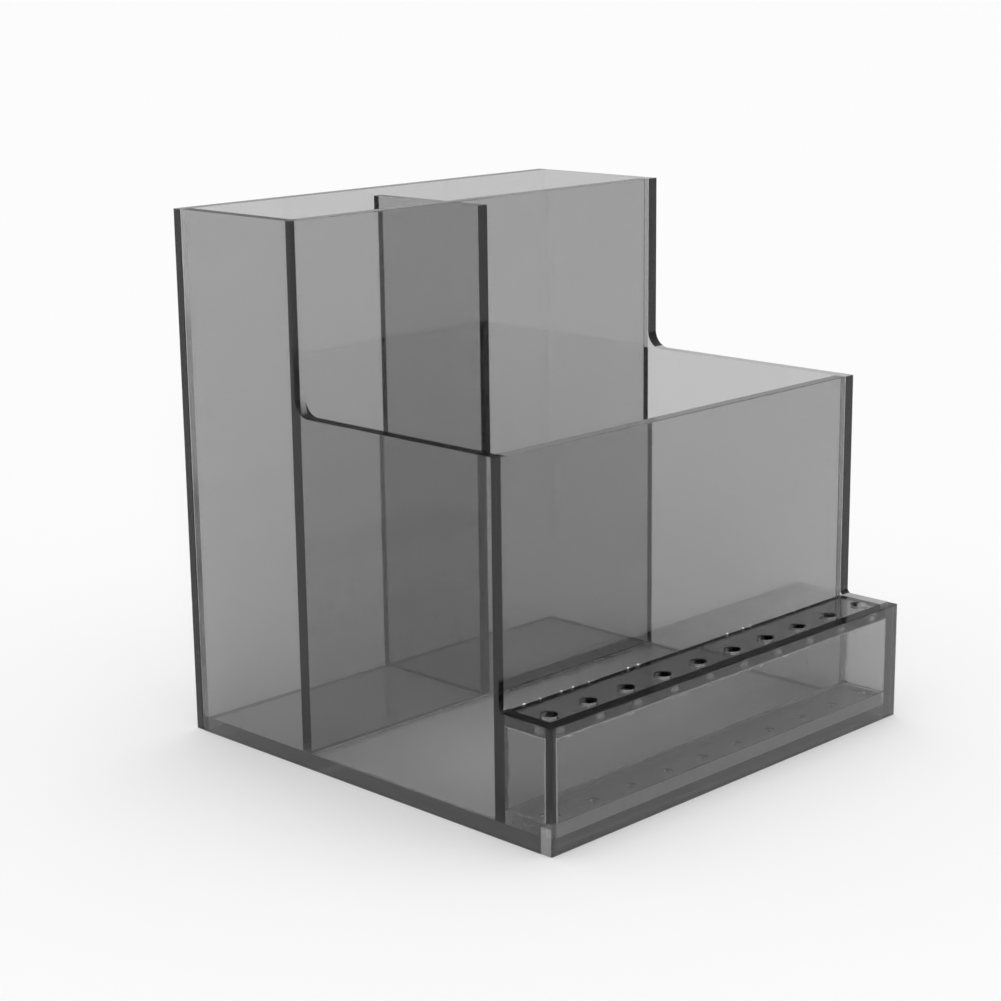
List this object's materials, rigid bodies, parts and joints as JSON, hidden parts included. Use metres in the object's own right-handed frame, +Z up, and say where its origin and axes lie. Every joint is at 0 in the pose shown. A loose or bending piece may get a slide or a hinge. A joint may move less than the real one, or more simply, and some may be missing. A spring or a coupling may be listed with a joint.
{
  "type": "nail drill bit holder",
  "caption": "Desk holder of tinted clear acrylic sheet, stepping down from open cells at the back to a low closed rack with a row of holes for nail drill bits.",
  "frame": {"origin": "middle of the footprint, on the surface that the holder stands on", "axes": "+Z up; +X to the right along the row of holes, seen from the front; the rack and its holes face -Y and the back wall faces +Y"},
  "size_m": [0.1, 0.097, 0.103],
  "materials": {
    "smoked_acrylic": "transparent grey-smoked acrylic sheet, polished on faces and edges"
  },
  "bodies": {
    "root": {"base_panel": "smoked_acrylic", "left_side_panel": "smoked_acrylic", "right_side_panel": "smoked_acrylic", "rack_front_panel": "smoked_acrylic", "rack_seat_strip": "smoked_acrylic", "rack_top_plate": "smoked_acrylic", "front_wall": "smoked_acrylic", "middle_wall": "smoked_acrylic", "rear_divider": "smoked_acrylic", "back_wall": "smoked_acrylic"}
  },
  "joints": []
}
